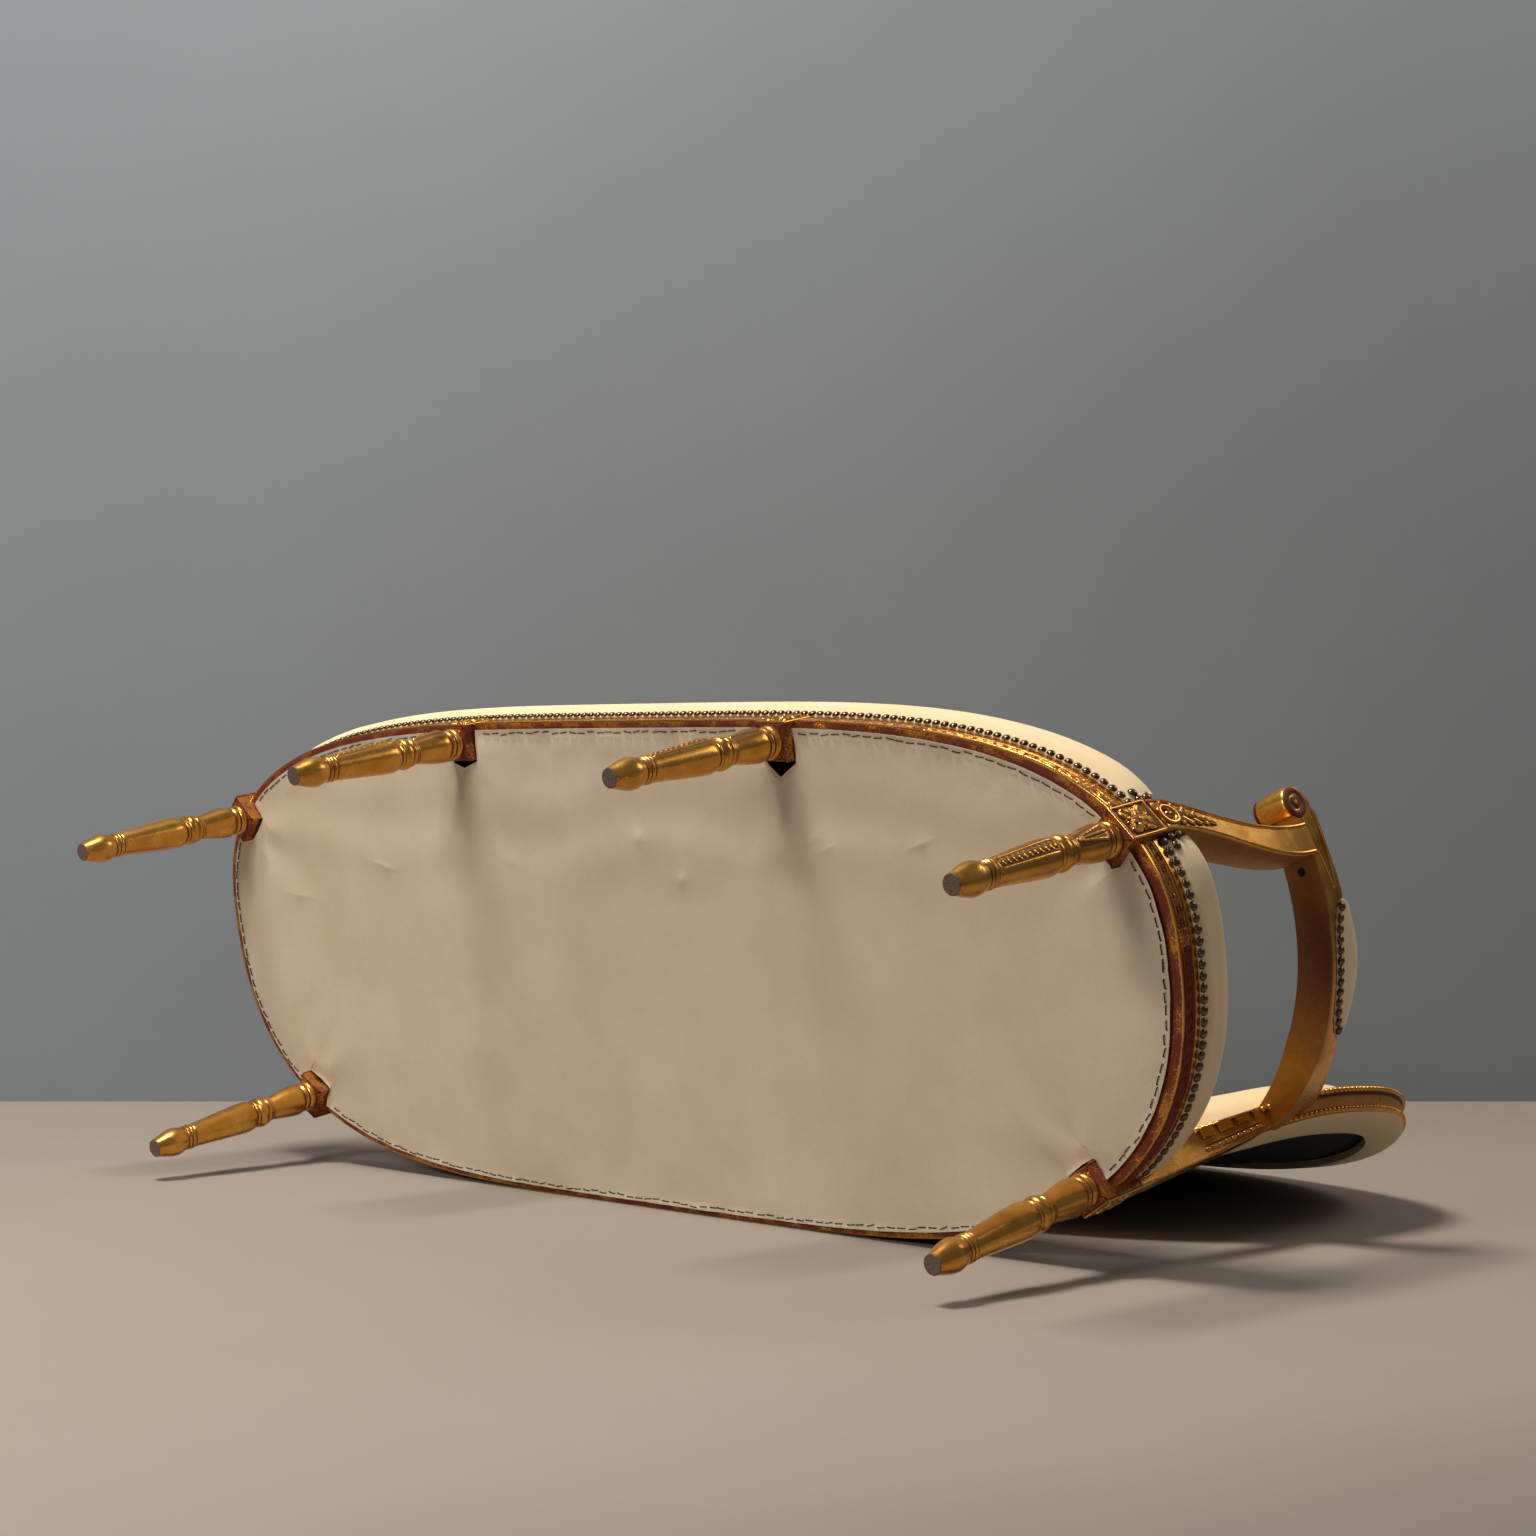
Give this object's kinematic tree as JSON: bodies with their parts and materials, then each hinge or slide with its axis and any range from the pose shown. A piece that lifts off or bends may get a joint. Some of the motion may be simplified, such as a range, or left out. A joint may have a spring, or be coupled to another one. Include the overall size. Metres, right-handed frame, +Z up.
{
  "type": "canape sofa",
  "caption": "Long padded settee: gilt show-wood frame on turned legs, curved oval back, open scrolled armrests with pads, stuffed seat edged with nail heads.",
  "frame": {"origin": "centre of the footprint's bounding box, on the floor", "axes": "+X towards the right end seen from the front, -Y towards the front, +Z up"},
  "size_m": [1.7018, 0.76, 1.09],
  "materials": {
    "gilt_wood": "worn water gilding over red bole",
    "cream_cover": "woven cream cover",
    "calico": "plain beige calico",
    "lining": "dark woven lining",
    "jute": "coarse brown jute",
    "nail_bronze": "antique dark bronze",
    "steel": "dull steel",
    "bare_wood": "unfinished"
  },
  "bodies": {
    "root": {"arm_nails_inner_left": "nail_bronze", "arm_nails_inner_right": "nail_bronze", "arm_nails_outer_left": "nail_bronze", "arm_nails_outer_right": "nail_bronze", "arm_pad_left": "cream_cover", "arm_pad_right": "cream_cover", "arm_screw_left": "steel", "arm_screw_right": "steel", "arm_support_left": "gilt_wood", "arm_support_right": "gilt_wood", "armrest_left": "gilt_wood", "armrest_right": "gilt_wood", "back_crest_rail": "gilt_wood", "back_dowel_1": "bare_wood", "back_dowel_2": "bare_wood", "back_dowel_3": "bare_wood", "back_dowel_4": "bare_wood", "back_hessian": "jute", "back_lower_rail": "gilt_wood", "back_nails": "nail_bronze", "back_pad": "cream_cover", "back_side_left": "gilt_wood", "back_side_right": "gilt_wood", "back_stile_left": "gilt_wood", "back_stile_right": "gilt_wood", "back_webbing_lower": "jute", "back_webbing_upper": "jute", "dust_cover": "calico", "front_leg_left": "gilt_wood", "front_leg_mid_left": "gilt_wood", "front_leg_mid_right": "gilt_wood", "front_leg_right": "gilt_wood", "front_rail": "gilt_wood", "glue_block_front_left": "bare_wood", "glue_block_front_right": "bare_wood", "glue_block_rear_left": "bare_wood", "glue_block_rear_right": "bare_wood", "outside_back_band_lower": "cream_cover", "outside_back_band_upper": "cream_cover", "outside_back_lining": "lining", "rear_leg_left": "gilt_wood", "rear_leg_right": "gilt_wood", "rear_rail": "gilt_wood", "seat_hessian": "jute", "seat_nails_front": "nail_bronze", "seat_nails_left": "nail_bronze", "seat_nails_rear": "nail_bronze", "seat_nails_right": "nail_bronze", "seat_pad": "cream_cover", "seat_spring_front_left": "steel", "seat_spring_front_middle": "steel", "seat_spring_front_right": "steel", "seat_spring_rear_left": "steel", "seat_spring_rear_middle": "steel", "seat_spring_rear_right": "steel", "seat_webbing": "jute", "side_rail_left": "gilt_wood", "side_rail_right": "gilt_wood"}
  },
  "joints": []
}
